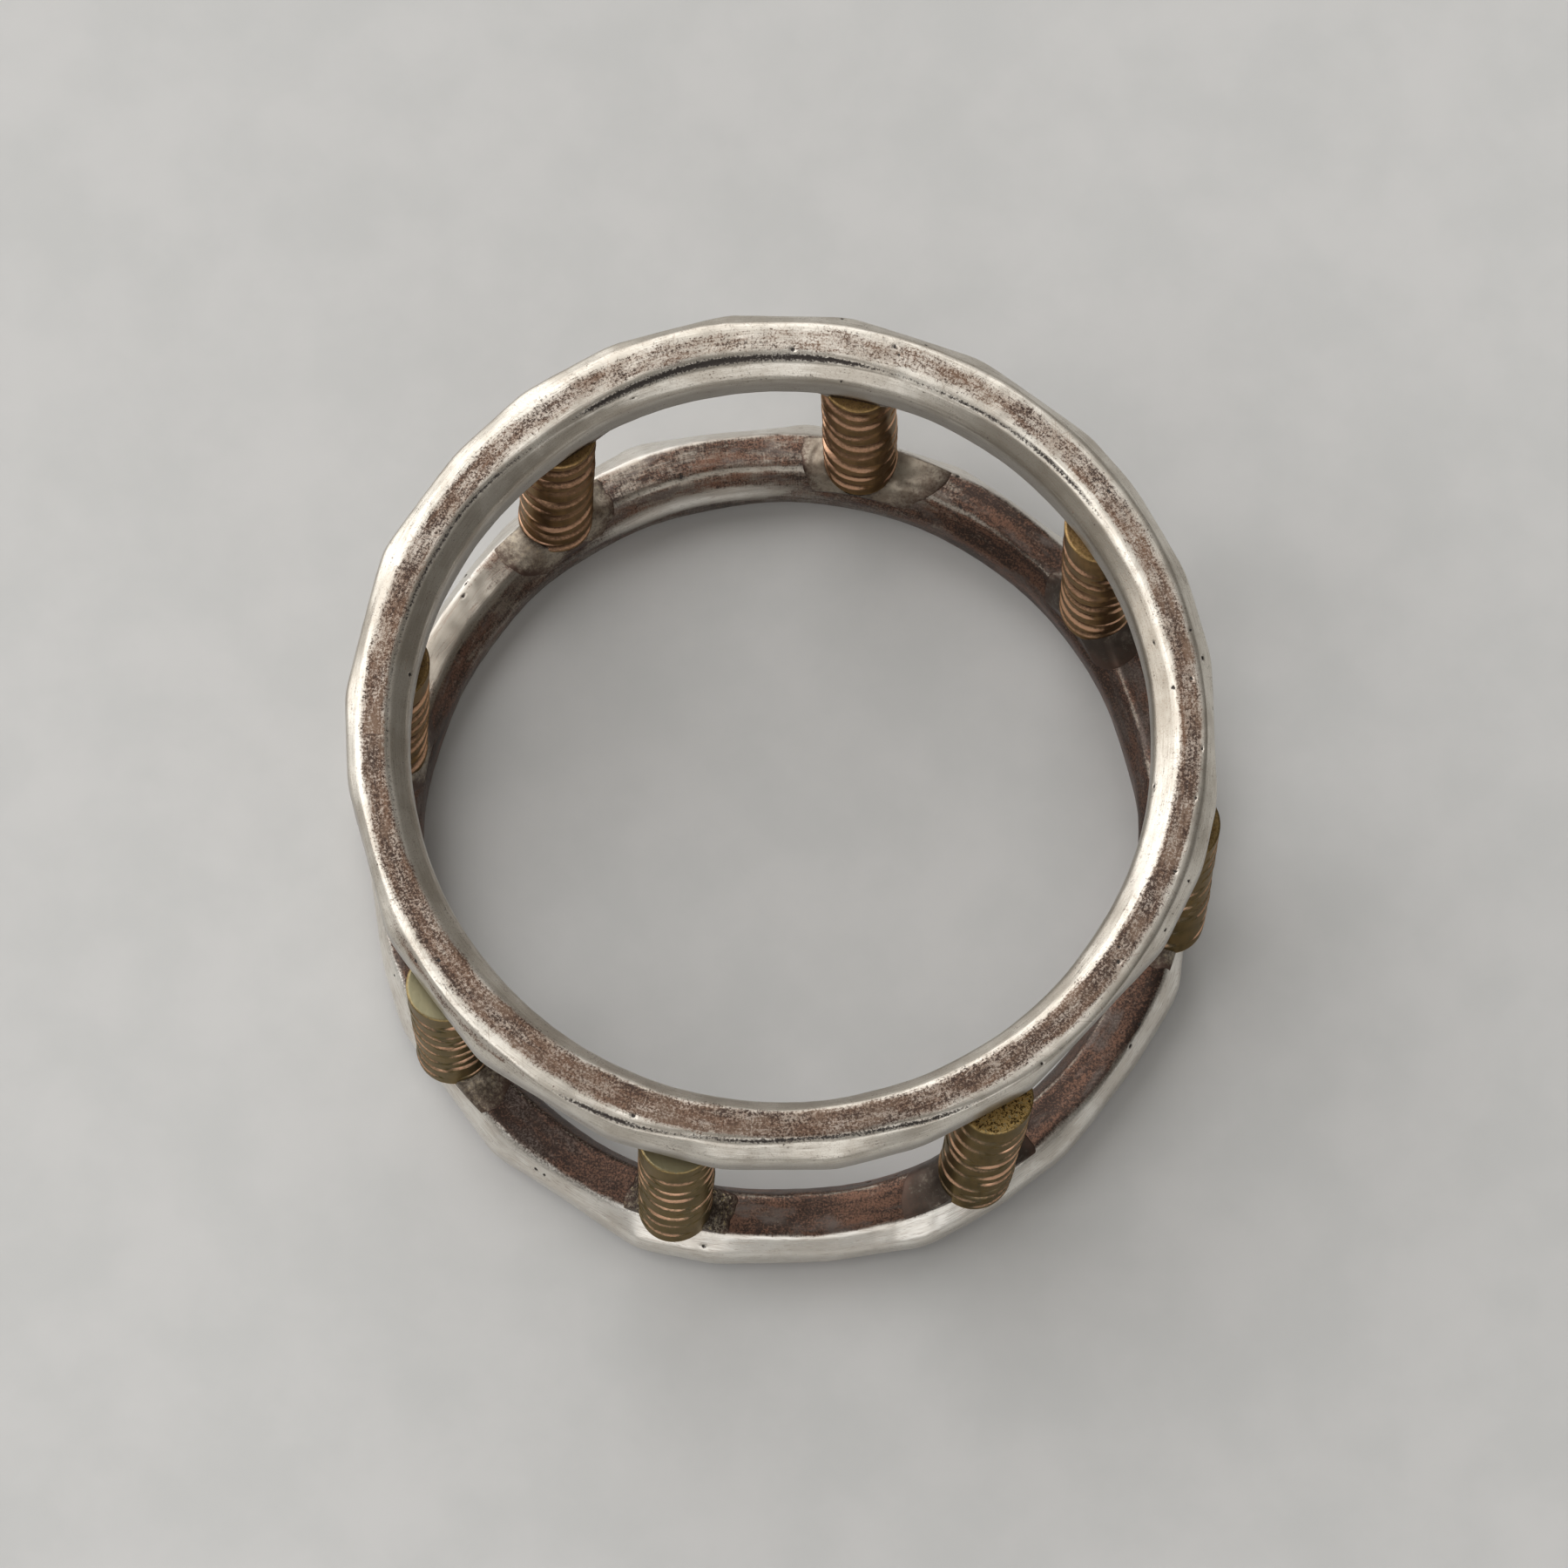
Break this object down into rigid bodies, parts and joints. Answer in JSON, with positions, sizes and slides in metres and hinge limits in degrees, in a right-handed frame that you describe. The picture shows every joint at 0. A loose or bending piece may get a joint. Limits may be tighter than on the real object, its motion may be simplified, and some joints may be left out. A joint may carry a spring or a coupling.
{
  "type": "finger ring",
  "caption": "Openwork finger ring: coaxial hand-forged silver hoops held apart by upright gold rods with file cuts, soldered at both ends.",
  "frame": {"origin": "on the axis of the finger hole, at the flat face that the ring rests on", "axes": "+Z along the finger hole, from the lower hoop to the upper hoop; +X to the right and +Y away from the viewer, with the rod numbered 1 near +Y"},
  "size_m": [0.0206, 0.0208, 0.0117],
  "materials": {
    "lower_silver": "hand-forged sterling silver, left dark and coppery on its faces, worn pale along the outer edge",
    "upper_silver": "hand-forged sterling silver, polished on the bevels, with a matt brown oxidised strip on the top face",
    "gold_rod": "satin gold alloy with coppery file cuts",
    "solder": "dull grey silver solder, grainy and dark in the corners"
  },
  "bodies": {
    "root": {"lower_hoop": "lower_silver", "upper_hoop": "upper_silver", "post_1": "gold_rod", "post_2": "gold_rod", "post_3": "gold_rod", "post_4": "gold_rod", "post_5": "gold_rod", "post_6": "gold_rod", "post_7": "gold_rod", "post_8": "gold_rod", "lower_solder_1": "solder", "lower_solder_2": "solder", "lower_solder_3": "solder", "lower_solder_4": "solder", "lower_solder_5": "solder", "lower_solder_6": "solder", "lower_solder_7": "solder", "lower_solder_8": "solder", "upper_solder_1": "solder", "upper_solder_2": "solder", "upper_solder_3": "solder", "upper_solder_4": "solder", "upper_solder_5": "solder", "upper_solder_6": "solder", "upper_solder_7": "solder", "upper_solder_8": "solder"}
  },
  "joints": []
}
